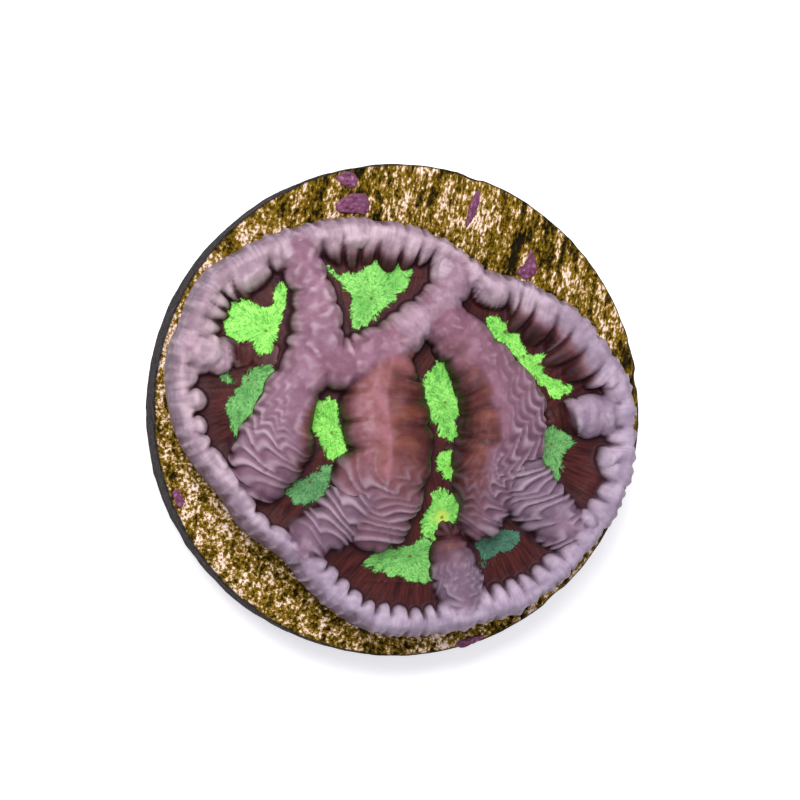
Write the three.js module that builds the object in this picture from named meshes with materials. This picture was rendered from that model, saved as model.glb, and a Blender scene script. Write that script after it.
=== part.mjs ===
// A small brain coral colony grown on a round plug disc, with a few crusts of
// coralline algae beside it. Millimetres, +Z up. The origin is the centre of
// the disc's underside, which is the face that the object rests on.
import * as THREE from "three";
import { mergeVertices } from "three/addons/utils/BufferGeometryUtils.js";

// Plug disc
const DISC_RADIUS = 25;
const DISC_THICKNESS = 7;
const DISC_EDGE_BREAK = 0.4;
const DISC_SEGMENTS = 72;

// Colony: heights are above the disc's top face. All of it stands a little
// left of where the footprint and the crests are listed.
const COLONY_SHIFT = -0.35;
const DOME_CENTRE = new THREE.Vector2(1, -1);
const DOME_RADIUS = 23;
const RIM_FLOOR_HEIGHT = 2.6;
const DOME_RISE = 4.2;
const SKIRT_HEIGHT = 0.6;
const RIM_WALL_HEIGHT = 3.2;
const RIM_INSET = 1.25;
const RIM_INNER_WIDTH = 2.4;
const WALL_FILLET = 0.7;
const SKIN_EASINGS = 3;
const SKIRT_MARGIN = 0.1;

// Inner walls lean outwards from this point, further the farther out they are
const LEAN_CENTRE = new THREE.Vector2(-1, 4);
const LEAN_PER_MM = 0.04;
const LEAN_LIMIT = 0.55;
const LEAN_FADE_WIDTH = 6;

const COLONY_SEGMENTS = 112;
const COLONY_RINGS = 32;
const RING_CROWDING = 1.25;
const FOOTPRINT_STEPS = 360;
const STEPS_PER_SPAN = 6;

// Algae crusts
const CRUST_THICKNESS = 0.35;
const CRUST_EDGE = 0.12;

const COLOURS = {
  tissue: new THREE.Color().setRGB(0.5, 0.38, 0.45, THREE.SRGBColorSpace),
  disc: new THREE.Color().setRGB(0.48, 0.4, 0.2, THREE.SRGBColorSpace),
  crust: new THREE.Color().setRGB(0.52, 0.26, 0.42, THREE.SRGBColorSpace),
};

// The colony's footprint, counter-clockwise from the far side.
const FOOTPRINT = [
  [-3.9, 19.3], [-8.9, 18.8], [-14, 17], [-18.8, 14.5], [-20.9, 12], [-22.2, 8.6], [-23.3, 6],
  [-23.5, 2.5], [-22.6, -2], [-20.7, -5.5], [-17.8, -9], [-15.8, -12], [-11.7, -15], [-9.7, -17.4],
  [-6.7, -20.1], [-2.9, -22.3], [2.2, -22.8], [8.3, -21.6], [13.3, -19.8], [17.3, -16.7],
  [20.7, -12.9], [23, -9], [24.3, -4], [24.1, 0.5], [23.1, 3.7], [20.7, 6.9], [18.1, 10],
  [15.4, 11.6], [11.8, 13.5], [9, 13.9], [6.9, 15.6], [3.2, 17.9],
];

// Each wall's crest, as [x, y, height above the valley floor, half width on
// the left, half width on the right], where left and right are those of
// someone who walks along the list.
const WALLS = {
  left: [
    [-10.6, 17, 3.2, 1.9, 1.8], [-10.5, 14.8, 3.4, 1.9, 2], [-10.4, 12.3, 3.8, 2.2, 2.3],
    [-10.3, 9.4, 4, 2.3, 2.6], [-10.6, 6.4, 4, 2.4, 2.8], [-12.1, 3, 4, 2.2, 2.8],
    [-13.6, -0.5, 4, 2.5, 3], [-14.4, -3.6, 4.2, 3.3, 3.6], [-15.1, -6.2, 3.8, 3.4, 3.4],
  ],
  saddle: [
    [-10.6, 5.7, 4, 2.2, 2.6], [-7.3, 4.8, 4, 2.5, 2.8], [-4.5, 5.3, 4, 2.5, 2.9], [-1.4, 7.2, 4, 2.2, 2.4],
  ],
  far: [
    [-1.4, 7.2, 4, 2.2, 2.4], [0.9, 9.1, 4, 2.1, 2.2], [3.2, 10.8, 3.8, 2, 2], [4.8, 12.8, 3.6, 1.9, 2],
    [5.3, 14.8, 3.2, 1.8, 1.8],
  ],
  right: [
    [3.2, 10.4, 3.8, 1.9, 1.9], [5.7, 8.3, 4, 2.4, 2.4], [8.2, 5.4, 4, 3, 2.8], [10.1, 2.4, 4.2, 4, 3.4],
    [11.2, -1, 4.4, 4.7, 3.9], [11.1, -4.4, 4.4, 4.7, 4.1], [10, -7.5, 4.2, 4, 3.7],
    [9.1, -10, 3.8, 3.1, 3.1], [8.6, -12.3, 3.3, 2.4, 2.4],
  ],
  nearRight: [
    [10.5, -5.4, 4.2, 3.4, 3.4], [12.8, -8, 3.9, 3.3, 3.4], [15, -10.3, 3.5, 2.8, 3.1],
    [17.5, -12.6, 3.1, 2.2, 2.4],
  ],
  middle: [
    [-1.4, 7.2, 4, 2.2, 2.2], [-2.8, 4.1, 4.2, 3.6, 2.8], [-3.1, 0.5, 4.4, 4.7, 3.6],
    [-2.9, -3.4, 4.6, 4.9, 3.4], [-2.7, -5.6, 4.5, 4.9, 3.1], [-2.9, -8, 4.5, 4.8, 4.4],
    [-3, -10.4, 4.2, 4.3, 4.5], [-3.1, -12.6, 3.7, 3.3, 3.4],
  ],
  nearLeft: [
    [-3.2, -10.3, 4.2, 2.8, 2.6], [-6.1, -11.6, 3.8, 2.7, 2.7], [-8.9, -13, 3.4, 2.5, 2.5],
    [-10.9, -14.4, 3, 2, 2],
  ],
  near: [
    [4.8, -13.4, 1.4, 1.5, 1.5], [5.1, -15.2, 2.6, 2, 2], [5.8, -17.5, 3.2, 2.4, 2.4],
    [6.3, -19.8, 3, 2.4, 2.4],
  ],
  leftFold: [
    [-21.6, 6.3, 3.2, 2.2, 2.2], [-19.7, 5.5, 2.2, 1.9, 1.9], [-16.5, 5.6, 0.7, 1.5, 1.5],
    [-13.1, 5.2, 0.6, 1.2, 1.2],
  ],
  rightFold: [
    [21, -0.6, 3, 2.3, 2.3], [19.2, -0.8, 3.1, 2.1, 2.1], [17.6, -0.9, 1.5, 1.7, 1.7],
    [16, -1, 0.5, 1.3, 1.3],
  ],
};

// Outlines of the algae crusts on the disc's bare margin.
const CRUSTS = {
  crust_far_small: [[-6.3, 23.6], [-4.9, 24], [-4.1, 23.3], [-4.4, 22.4], [-5.6, 22.7]],
  crust_far: [
    [-6.4, 20.9], [-5.3, 21.6], [-4.6, 22], [-3.3, 21.9], [-2.8, 20.9], [-3.1, 19.9], [-4.8, 19.8],
    [-6.2, 20],
  ],
  crust_streak: [[7, 18.6], [7.2, 20.2], [7.7, 21.6], [8.4, 22.4], [8.3, 21], [7.7, 19.4]],
  crust_right: [[12.3, 14.2], [13.2, 15], [13.6, 16.4], [14, 15.6], [14.3, 14.2], [13.8, 13.5], [13, 13.2]],
  crust_near: [[5.9, -23.7], [7.2, -23.1], [8.8, -22.8], [8.6, -23.2], [7.5, -23.8], [6.5, -24.1]],
  crust_left: [[-23, -8.3], [-22.4, -8], [-21.8, -9], [-22.1, -9.8], [-22.6, -9.4]],
};

const leanAt = (x, y) => {
  const lean = new THREE.Vector2(x, y).sub(LEAN_CENTRE).multiplyScalar(LEAN_PER_MM);
  return lean.clampLength(0, LEAN_LIMIT);
};

// A closed line through the footprint's points, and how far its edge is from
// the dome's centre in any direction.
const footprintLine = new THREE.CatmullRomCurve3(
  FOOTPRINT.map(([x, y]) => new THREE.Vector3(x, y, 0)),
  true,
);
const footprintPoints = footprintLine.getSpacedPoints(FOOTPRINT_STEPS).slice(0, -1);
const footprintPolar = footprintPoints
  .map((p) => {
    const out = new THREE.Vector2(p.x, p.y).sub(DOME_CENTRE);
    return { angle: out.angle(), radius: out.length() };
  })
  .sort((a, b) => a.angle - b.angle);

function footprintRadius(angle) {
  const count = footprintPolar.length;
  const next = footprintPolar.findIndex((p) => p.angle > angle);
  const after = next < 0 ? 0 : next;
  const a = footprintPolar[(after + count - 1) % count];
  const b = footprintPolar[after];
  const turn = 2 * Math.PI;
  const span = (b.angle - a.angle + turn) % turn;
  const share = span > 0 ? ((angle - a.angle + turn) % turn) / span : 0;
  return THREE.MathUtils.lerp(a.radius, b.radius, share);
}

function distanceToFootprint(x, y) {
  let nearest = Infinity;
  for (const p of footprintPoints) nearest = Math.min(nearest, Math.hypot(x - p.x, y - p.y));
  return nearest;
}

// A wall as short straight steps along its foot. The listed crest is over the
// foot by the wall's own lean.
function wallSteps(crest) {
  const foot = crest.map(([x, y, height, left, right]) => {
    const lean = leanAt(x, y).multiplyScalar(height * innerShare(x, y));
    return { place: new THREE.Vector3(x - lean.x, y - lean.y, 0), height, left, right };
  });
  const line = new THREE.CatmullRomCurve3(foot.map((f) => f.place));
  const count = (foot.length - 1) * STEPS_PER_SPAN;
  return Array.from({ length: count + 1 }, (_, i) => {
    const along = (i / count) * (foot.length - 1);
    const k = Math.min(Math.floor(along), foot.length - 2);
    const mix = (key) => THREE.MathUtils.lerp(foot[k][key], foot[k + 1][key], along - k);
    return {
      place: line.getPoint(i / count),
      ahead: line.getTangent(i / count),
      height: mix("height"),
      left: mix("left"),
      right: mix("right"),
    };
  });
}

// 0 on the footprint's edge, 1 well inside, so that the rim keeps its outline.
function innerShare(x, y) {
  return THREE.MathUtils.smoothstep(distanceToFootprint(x, y), RIM_INSET, LEAN_FADE_WIDTH);
}

// A wall's height from its crest, where t is 0, to its foot, where t is 1.
const flank = (t) => (t < 1 ? (1 - t ** 2.4) ** 0.7 : 0);

// Height of one wall above the floor at a place.
function wallHeight(steps, x, y) {
  let best = 0;
  for (const s of steps) {
    const dx = x - s.place.x;
    const dy = y - s.place.y;
    const onLeft = s.ahead.x * dy - s.ahead.y * dx > 0;
    const t = Math.hypot(dx, dy) / (onLeft ? s.left : s.right);
    best = Math.max(best, s.height * flank(t));
  }
  return best;
}

// The larger of two heights, with a rounded corner where they meet.
function roundedMax(a, b) {
  const near = Math.max(WALL_FILLET - Math.abs(a - b), 0) / WALL_FILLET;
  return Math.max(a, b) + (near * near * WALL_FILLET) / 4;
}

const walls = Object.values(WALLS).map(wallSteps);

// Where the skin above footprint place (x, y) ends up.
function skinAt(x, y) {
  const edge = distanceToFootprint(x, y);
  const fromDome = Math.hypot(x - DOME_CENTRE.x, y - DOME_CENTRE.y) / DOME_RADIUS;
  const floor = RIM_FLOOR_HEIGHT + DOME_RISE * Math.max(0, 1 - fromDome * fromDome);
  const inner = walls.reduce((top, steps) => roundedMax(top, wallHeight(steps, x, y)), 0);
  const rim = RIM_WALL_HEIGHT * flank(Math.max(edge - RIM_INSET, 0) / RIM_INNER_WIDTH);
  const outside = Math.max(0, RIM_INSET - edge) / RIM_INSET;
  const shoulder = Math.sqrt(1 - outside * outside);
  const lean = leanAt(x, y).multiplyScalar(inner * innerShare(x, y));
  const height = SKIRT_HEIGHT + (floor + roundedMax(inner, rim) - SKIRT_HEIGHT) * shoulder;
  return new THREE.Vector3(x + lean.x, y + lean.y, DISC_THICKNESS + height);
}

// The colony starts as a turned unit disc: its underside, its skirt, and then
// rings from the edge to the middle, closer together towards the edge.
function colonyGeometry() {
  const ringRadius = (k) => Math.sin((k / COLONY_RINGS) * RING_CROWDING) / Math.sin(RING_CROWDING);
  const profile = [new THREE.Vector2(0, 0), new THREE.Vector2(1, 0)];
  for (let k = COLONY_RINGS; k >= 0; k--) profile.push(new THREE.Vector2(ringRadius(k), 1));
  const geometry = new THREE.LatheGeometry(profile, COLONY_SEGMENTS);
  const position = geometry.getAttribute("position");
  for (let i = 0; i < position.count; i++) {
    const east = position.getX(i);
    const north = -position.getZ(i);
    const angle = (Math.atan2(north, east) + 2 * Math.PI) % (2 * Math.PI);
    const reach = Math.hypot(east, north) * footprintRadius(angle);
    const x = DOME_CENTRE.x + reach * Math.cos(angle);
    const y = DOME_CENTRE.y + reach * Math.sin(angle);
    const onSkin = position.getY(i) > 0;
    const place = onSkin ? skinAt(x, y) : new THREE.Vector3(x, y, DISC_THICKNESS);
    position.setXYZ(i, place.x + COLONY_SHIFT, place.y, place.z);
  }
  geometry.deleteAttribute("normal");
  geometry.deleteAttribute("uv");
  return eased(mergeVertices(geometry, 1e-3));
}

// Each point of the skin moves half way to the middle of its neighbours, a few
// times over, which takes the steps out of walls that cross the rings.
function eased(geometry) {
  const position = geometry.getAttribute("position");
  const index = geometry.getIndex();
  const neighbours = Array.from({ length: position.count }, () => new Set());
  for (let i = 0; i < index.count; i += 3) {
    const corners = [index.getX(i), index.getX(i + 1), index.getX(i + 2)];
    for (const a of corners) for (const b of corners) if (a !== b) neighbours[a].add(b);
  }
  const isSkin = (i) => position.getZ(i) > DISC_THICKNESS + SKIRT_HEIGHT + SKIRT_MARGIN;
  const point = (i) => new THREE.Vector3().fromBufferAttribute(position, i);
  for (let pass = 0; pass < SKIN_EASINGS; pass++) {
    const moved = neighbours.map((near, i) => {
      const middle = new THREE.Vector3();
      for (const j of near) middle.add(point(j));
      return point(i).lerp(middle.divideScalar(near.size), isSkin(i) ? 0.5 : 0);
    });
    moved.forEach((p, i) => position.setXYZ(i, p.x, p.y, p.z));
  }
  return geometry;
}

function discGeometry() {
  const r = DISC_RADIUS;
  const t = DISC_THICKNESS;
  const e = DISC_EDGE_BREAK;
  const profile = [[0, 0], [r - e, 0], [r, e], [r, t - e], [r - e, t], [0, t]];
  const geometry = new THREE.LatheGeometry(profile.map(([x, y]) => new THREE.Vector2(x, y)), DISC_SEGMENTS);
  return geometry.rotateX(Math.PI / 2);
}

// A thin plate with softened edges, flat on the disc.
function crustGeometry(outline) {
  const line = new THREE.CatmullRomCurve3(outline.map(([x, y]) => new THREE.Vector3(x, y, 0)), true);
  const shape = new THREE.Shape(line.getSpacedPoints(outline.length * 2).slice(0, -1));
  const geometry = new THREE.ExtrudeGeometry(shape, {
    depth: CRUST_THICKNESS - 2 * CRUST_EDGE,
    bevelThickness: CRUST_EDGE,
    bevelSize: CRUST_EDGE,
    bevelOffset: -CRUST_EDGE,
    bevelSegments: 1,
  });
  return geometry.translate(0, 0, CRUST_EDGE);
}

function piece(name, geometry, color, roughness) {
  const mesh = new THREE.Mesh(geometry, new THREE.MeshStandardMaterial({ color, roughness, metalness: 0 }));
  mesh.name = name;
  return mesh;
}

const specimen = new THREE.Group();
specimen.add(piece("disc", discGeometry(), COLOURS.disc, 0.9));
specimen.add(piece("coral", colonyGeometry(), COLOURS.tissue, 0.5));

const crusts = new THREE.Group();
crusts.position.z = DISC_THICKNESS;
for (const [name, outline] of Object.entries(CRUSTS)) {
  crusts.add(piece(name, crustGeometry(outline), COLOURS.crust, 0.8));
}
specimen.add(crusts);

export default specimen;
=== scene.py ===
import math

import bmesh
import bpy
import numpy as np
from mathutils import Matrix, Vector


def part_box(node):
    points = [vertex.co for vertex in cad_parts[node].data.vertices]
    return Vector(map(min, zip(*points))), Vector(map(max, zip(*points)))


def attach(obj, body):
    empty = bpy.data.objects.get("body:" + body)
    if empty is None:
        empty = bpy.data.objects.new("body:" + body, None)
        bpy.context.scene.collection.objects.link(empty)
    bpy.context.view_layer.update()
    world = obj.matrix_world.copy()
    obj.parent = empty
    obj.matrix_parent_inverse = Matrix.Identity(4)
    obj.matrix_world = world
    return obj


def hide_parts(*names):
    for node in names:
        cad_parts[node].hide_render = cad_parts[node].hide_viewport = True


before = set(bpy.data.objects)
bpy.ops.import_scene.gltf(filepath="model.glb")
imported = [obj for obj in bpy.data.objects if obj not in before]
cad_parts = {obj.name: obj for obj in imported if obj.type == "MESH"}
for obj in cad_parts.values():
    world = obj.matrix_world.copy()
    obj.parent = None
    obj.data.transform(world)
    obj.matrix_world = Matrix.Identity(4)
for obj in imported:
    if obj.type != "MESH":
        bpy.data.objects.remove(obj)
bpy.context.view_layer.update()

mm = 0.001  # shapes are worked out in millimetres, meshes are in metres
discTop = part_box("disc")[1].z / mm
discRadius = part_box("disc")[1].x / mm


# small tools for shapes

def smoothStep(low, high, value):
    t = np.clip((value - low) / (high - low), 0, 1)
    return t * t * (3 - 2 * t)


def mixed(a, b, share):
    return a * (1 - share) + b * share


def roundedMax(a, b, fillet):
    near = np.maximum(fillet - np.abs(a - b), 0) / fillet
    return np.maximum(a, b) + near * near * fillet / 4


def softNoise(x, y, cell, seed):  # smooth random hills about cell mm apart, from -1 to 1
    size = 97
    table = np.random.default_rng(seed).uniform(-1, 1, (size, size))
    u, v = x / cell, y / cell
    i, j = np.floor(u).astype(int), np.floor(v).astype(int)
    fu, fv = smoothStep(0, 1, u - i), smoothStep(0, 1, v - j)
    i0, i1, j0, j1 = i % size, (i + 1) % size, j % size, (j + 1) % size
    return mixed(mixed(table[i0, j0], table[i0, j1], fv), mixed(table[i1, j0], table[i1, j1], fv), fu)


def layeredNoise(x, y, cell, seed, layers=3):
    total = sum(softNoise(x, y, cell / 2 ** k, seed + k) / 2 ** k for k in range(layers))
    return total / sum(1 / 2 ** k for k in range(layers))


def cobbles(x, y, pitch, seed):  # 1 on top of a cobble, 0 in the joints between them
    size = 61
    jitter = np.random.default_rng(seed).uniform(0.1, 0.9, (size, size, 2))
    u, v = x / pitch, y / pitch
    i, j = np.floor(u).astype(int), np.floor(v).astype(int)
    first = np.full(np.shape(u), 9.0)
    second = first.copy()
    for a in (-1, 0, 1):
        for b in (-1, 0, 1):
            spot = jitter[(i + a) % size, (j + b) % size]
            away = np.hypot(i + a + spot[..., 0] - u, j + b + spot[..., 1] - v)
            second = np.minimum(second, np.maximum(first, away))
            first = np.minimum(first, away)
    return smoothStep(0, 0.75, second - first)


def terraces(along, down, pitch, row, seed):  # wavy lips one below the other, each standing over the next
    sway = softNoise(along, down, 1.6 * pitch, seed)
    scallop = np.abs(np.cos(np.pi * (along / pitch + 0.35 * down / row + 0.5 * sway)))
    wave = 0.75 * scallop + 1.3 * softNoise(along, down, 1.5 * pitch, seed + 1)
    level = (down + row * wave) / row
    share = level % 1
    lift = smoothStep(0, 0.7, share) * np.sqrt(np.clip(1 - (np.clip(share - 0.7, 0, 1) / 0.3) ** 2, 0, 1))
    lip = smoothStep(0.45, 0.7, share) * smoothStep(0.98, 0.85, share)
    fade = 0.65 + 0.35 * softNoise(along + 7 * np.floor(level), down, 1.2 * pitch, seed + 2)
    return lift * fade, lip * fade


def lobes(along, pitch, seed):  # 1 on each fold, 0 in the creases between folds
    swing = 0.55 * pitch * softNoise(along, 0 * along + seed, 2.1 * pitch, seed)
    share = (along + swing) / pitch % 1
    return 1 - np.abs(2 * share - 1) ** 2.6


def smoothLine(points, closed, perSpan):  # a Catmull-Rom line through rows of numbers
    rows = np.array(points, float)
    count = len(rows)
    spans = count if closed else count - 1
    out = []
    for k in range(spans):
        if closed:
            a, b, c, d = (rows[(k + i) % count] for i in (-1, 0, 1, 2))
        else:
            b, c = rows[k], rows[k + 1]
            a = rows[k - 1] if k else 2 * b - c
            d = rows[k + 2] if k + 2 < count else 2 * c - b
        for t in np.arange(perSpan) / perSpan:
            out.append(0.5 * (2 * b + (c - a) * t + (2 * a - 5 * b + 4 * c - d) * t ** 2
                              + (3 * b - a - 3 * c + d) * t ** 3))
    if not closed:
        out.append(rows[-1])
    return np.array(out)


def lineLength(points):
    steps = np.hypot(*np.diff(points[:, :2], axis=0).T)
    return np.concatenate([[0], np.cumsum(steps)])


def nearestOnLine(x, y, line):  # index of the nearest point of a line, and how far away it is
    best = np.full(x.shape, 1e9)
    index = np.zeros(x.shape, int)
    for k, (px, py) in enumerate(line[:, :2]):
        away = (x - px) ** 2 + (y - py) ** 2
        closer = away < best
        best[closer] = away[closer]
        index[closer] = k
    return index, np.sqrt(best)


def besideLine(x, y, line):  # nearest point, how far it is, and how far ahead and to the left of it
    ahead = np.gradient(line[:, :2], axis=0)
    ahead /= np.hypot(*ahead.T)[:, None]
    k, away = nearestOnLine(x, y, line)
    dx, dy = x - line[k, 0], y - line[k, 1]
    forward = dx * ahead[k, 0] + dy * ahead[k, 1]
    sideways = ahead[k, 0] * dy - ahead[k, 1] * dx
    atEnd = (k == 0) | (k == len(line) - 1)
    return k, away, forward, sideways, atEnd


def roundPlace(gx, gy):  # from a square grid's -1 to 1 to a round disc's radius and angle
    u, v = gx * np.sqrt(1 - gy ** 2 / 2), gy * np.sqrt(1 - gx ** 2 / 2)
    return np.minimum(np.hypot(u, v), 1), np.arctan2(v, u) % (2 * np.pi)


def radiusAt(angle, line, cx, cy):  # how far a closed line is from a middle point in any direction
    lineAngle = np.arctan2(line[:, 1] - cy, line[:, 0] - cx) % (2 * np.pi)
    order = np.argsort(lineAngle)
    radius = np.hypot(line[:, 1] - cy, line[:, 0] - cx)[order]
    return np.interp(angle, lineAngle[order], radius, period=2 * np.pi)


def insideDistance(x, y, loop):  # millimetres inside a closed line, negative outside it
    best = np.full(x.shape, 1e9)
    inside = np.zeros(x.shape, bool)
    for (ax, ay), (bx, by) in zip(loop, np.roll(loop, -1, axis=0)):
        dx, dy = bx - ax, by - ay
        t = np.clip(((x - ax) * dx + (y - ay) * dy) / (dx * dx + dy * dy + 1e-12), 0, 1)
        best = np.minimum(best, (x - ax - t * dx) ** 2 + (y - ay - t * dy) ** 2)
        crosses = ((ay > y) != (by > y)) & (x < (bx - ax) * (y - ay) / (by - ay + 1e-12) + ax)
        inside ^= crosses
    return np.where(inside, 1, -1) * np.sqrt(best)


# small tools for meshes and pieces

def corners(mesh):
    co = np.zeros(len(mesh.vertices) * 3)
    mesh.vertices.foreach_get("co", co)
    return co.reshape(-1, 3)


def placeCorners(mesh, places):
    mesh.vertices.foreach_set("co", np.asarray(places, float).ravel())
    mesh.update()


def addMask(mesh, name, values):
    values = np.asarray(values, np.float32)
    if values.ndim == 1:
        mesh.attributes.new(name, "FLOAT", "POINT").data.foreach_set("value", values)
    else:
        mesh.attributes.new(name, "FLOAT_VECTOR", "POINT").data.foreach_set("vector", values.ravel())


def neighbourMean(mesh, values, passes):  # the mean of each corner's neighbours, several times over
    edges = np.zeros(len(mesh.edges) * 2, int)
    mesh.edges.foreach_get("vertices", edges)
    a, b = edges.reshape(-1, 2).T
    count = len(mesh.vertices)
    shared = np.bincount(a, minlength=count) + np.bincount(b, minlength=count)
    out = np.array(values, float)
    for _ in range(passes):
        total = np.stack([np.bincount(a, out[b, k], count) + np.bincount(b, out[a, k], count)
                          for k in range(out.shape[1])], axis=1)
        out = 0.5 * out + 0.5 * total / shared[:, None]
    return out


def swell(mesh, passes):  # how far each corner stands proud of its surroundings, in mm
    co = corners(mesh)
    normals = np.zeros(len(mesh.vertices) * 3)
    mesh.vertices.foreach_get("normal", normals)
    gap = co - neighbourMean(mesh, co, passes)
    return (gap * normals.reshape(-1, 3)).sum(1) / mm


def closedGrid(cells, skirtRows):  # a square grid from -1 to 1, with a skirt closed underneath
    bm = bmesh.new()
    bmesh.ops.create_grid(bm, x_segments=cells, y_segments=cells, size=1)
    skirt = [e for e in bm.edges if e.is_boundary]
    for _ in range(skirtRows):
        grown = bmesh.ops.extrude_edge_only(bm, edges=skirt)["geom"]
        skirt = [e for e in grown if isinstance(e, bmesh.types.BMEdge) and e.is_boundary]
        for v in {v for e in skirt for v in e.verts}:
            v.co.z -= 1
    bmesh.ops.contextual_create(bm, geom=skirt)
    return bm


def addPiece(bm, name, material, node):
    mesh = bpy.data.meshes.new(name)
    bmesh.ops.recalc_face_normals(bm, faces=bm.faces)
    bm.to_mesh(mesh)
    bm.free()
    mesh.polygons.foreach_set("use_smooth", [True] * len(mesh.polygons))
    mesh.materials.append(material)
    piece = bpy.data.objects.new(name, mesh)
    bpy.context.scene.collection.objects.link(piece)
    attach(piece, "root")
    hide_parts(node)
    return piece


# small tools for materials

class Nodes:
    def __init__(self, name):
        self.material = bpy.data.materials.new(name)
        self.material.use_nodes = True
        self.tree = self.material.node_tree
        self.shader = self.tree.nodes["Principled BSDF"]

    def add(self, kind, settings=None, **inputs):
        node = self.tree.nodes.new("ShaderNode" + kind)
        for key, value in (settings or {}).items():
            setattr(node, key, value)
        for key, value in inputs.items():
            self.feed(node.inputs[int(key[1:]) if key[1:].isdigit() else key], value)
        return node

    def feed(self, socket, value):
        if isinstance(value, bpy.types.NodeSocket):
            self.tree.links.new(value, socket)
        else:
            socket.default_value = value

    def give(self, name, value):
        self.feed(self.shader.inputs[name], value)

    def mask(self, name, kind="Fac"):
        return self.add("Attribute", dict(attribute_name=name)).outputs[kind]

    def math(self, operation, a, b=0.0, c=0.0):
        return self.add("Math", dict(operation=operation), i0=a, i1=b, i2=c).outputs[0]

    def times(self, a, b):
        return self.math("MULTIPLY", a, b)

    def span(self, value, low, high, outLow=0.0, outHigh=1.0):
        node = self.add("MapRange", dict(interpolation_type="SMOOTHSTEP"), i0=value, i1=low, i2=high,
                        i3=outLow, i4=outHigh)
        return node.outputs[0]

    def mix(self, share, a, b):
        node = self.add("Mix", dict(data_type="RGBA"))
        self.feed(node.inputs[0], share)
        self.feed(node.inputs[6], a)
        self.feed(node.inputs[7], b)
        return node.outputs[2]

    def pair(self, share, tones):
        return self.mix(share, shade(*tones[0]), shade(*tones[1]))

    def ramp(self, value, places, tones):
        node = self.add("ValToRGB", i0=value)
        band = node.color_ramp
        while len(band.elements) < len(places):
            band.elements.new(1)
        for element, place, tone in zip(band.elements, places, tones):
            element.position = place
            element.color = shade(*tone)
        return node.outputs[0]

    def place(self, turn=0.0, stretch=(1, 1, 1)):  # object coordinates in mm, turned and then stretched
        coordinates = self.add("TexCoord").outputs["Object"]
        node = self.add("Mapping", dict(vector_type="TEXTURE"), i0=coordinates)
        node.inputs["Rotation"].default_value = (0, 0, turn)
        node.inputs["Scale"].default_value = [s * mm for s in stretch]
        return node.outputs[0]

    def noise(self, vector, scale, detail=2.0, rough=0.5, distort=0.0):
        node = self.add("TexNoise", Vector=vector, Scale=scale, Detail=detail, Roughness=rough,
                        Distortion=distort)
        return node.outputs[0]

    def bump(self, height, depth):
        return self.add("Bump", Height=height, Distance=depth).outputs[0]


def shade(r, g, b):  # an everyday 0 to 255 colour as the linear one that shaders use
    return tuple(((c / 255 + 0.055) / 1.055) ** 2.4 if c > 10 else c / 3294.6 for c in (r, g, b)) + (1.0,)


# the colony

colony = dict(  # lengths in mm
    grid=304, wallShare=0.14, slides=150, shift=-0.35, skirt=0.6, skirtRows=3, skirtTuck=0.2,
    domeCentre=(1, -1), domeRadius=23, rimFloor=2.6, domeRise=4.2,
    floor=0.9, basinDepth=1.5, basinReach=4.0, rimWall=3.2, rimInset=1.25, fillet=0.5, tongueFillet=0.25,
    leanCentre=(-1, 4), leanPerMm=0.04, leanLimit=0.55, leanFade=6,
    flesh=0.10, rimFlesh=0.14, tongueFlesh=0.12, rimGroove=0.40, creaseDepth=1.6, wallReach=6.5,
    cobble=1.8, cobbleHeight=0.24, lump=1.7, lumpHeight=0.14, grain=0.6, grainHeight=0.05,
    rib=0.8, ribHeight=0.02, costaHeight=0.09, outerFold=0.24, outerWrinkle=0.2,
    calmPasses=7, finePasses=6, broadPasses=40,
)

# footprint rows: x, y, how far the rim's folds reach in from its crest, their pitch, their slope
footprint = [
    [-3.9, 19.3, 3.9, 2.2, 0.9], [-8.9, 18.8, 3.4, 2.2, 0.8], [-14, 17, 3.4, 2.2, 0.8],
    [-18.8, 14.5, 3.2, 2.2, 0.7], [-20.9, 12, 3.0, 2.0, 0.7], [-22.2, 8.6, 2.8, 2.0, 0.6],
    [-23.3, 6, 2.4, 2.4, 0.4], [-23.5, 2.5, 1.9, 2.9, 0.3], [-22.6, -2, 1.6, 2.7, 0.2],
    [-20.7, -5.5, 1.3, 2.4, 0.2], [-17.8, -9, 1.2, 2.5, 0.2], [-15.8, -12, 1.1, 2.5, 0.2],
    [-11.7, -15, 1.3, 2.3, 0.2], [-9.7, -17.4, 1.9, 2.1, 0.2], [-6.7, -20.1, 2.3, 2.0, 0.2],
    [-2.9, -22.3, 2.6, 1.9, 0.2], [2.2, -22.8, 2.6, 1.9, 0.2], [8.3, -21.6, 2.7, 2.0, 0.2],
    [13.3, -19.8, 2.5, 2.0, 0.2], [17.3, -16.7, 2.4, 2.1, 0.2], [20.7, -12.9, 2.4, 2.3, 0.2],
    [23, -9, 2.4, 2.5, 0.2], [24.3, -4, 2.5, 2.5, 0.2], [24.1, 0.5, 2.5, 2.4, 0.2],
    [23.1, 3.7, 2.9, 2.1, 0.4], [20.7, 6.9, 4.3, 2.6, 0.9], [18.1, 10, 5.0, 2.9, 1.0],
    [15.4, 11.6, 4.8, 2.7, 1.0], [11.8, 13.5, 3.8, 2.3, 0.9], [9, 13.9, 2.8, 2.0, 0.8],
    [6.9, 15.6, 2.8, 1.9, 0.7], [3.2, 17.9, 3.3, 1.9, 0.8],
]

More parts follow.
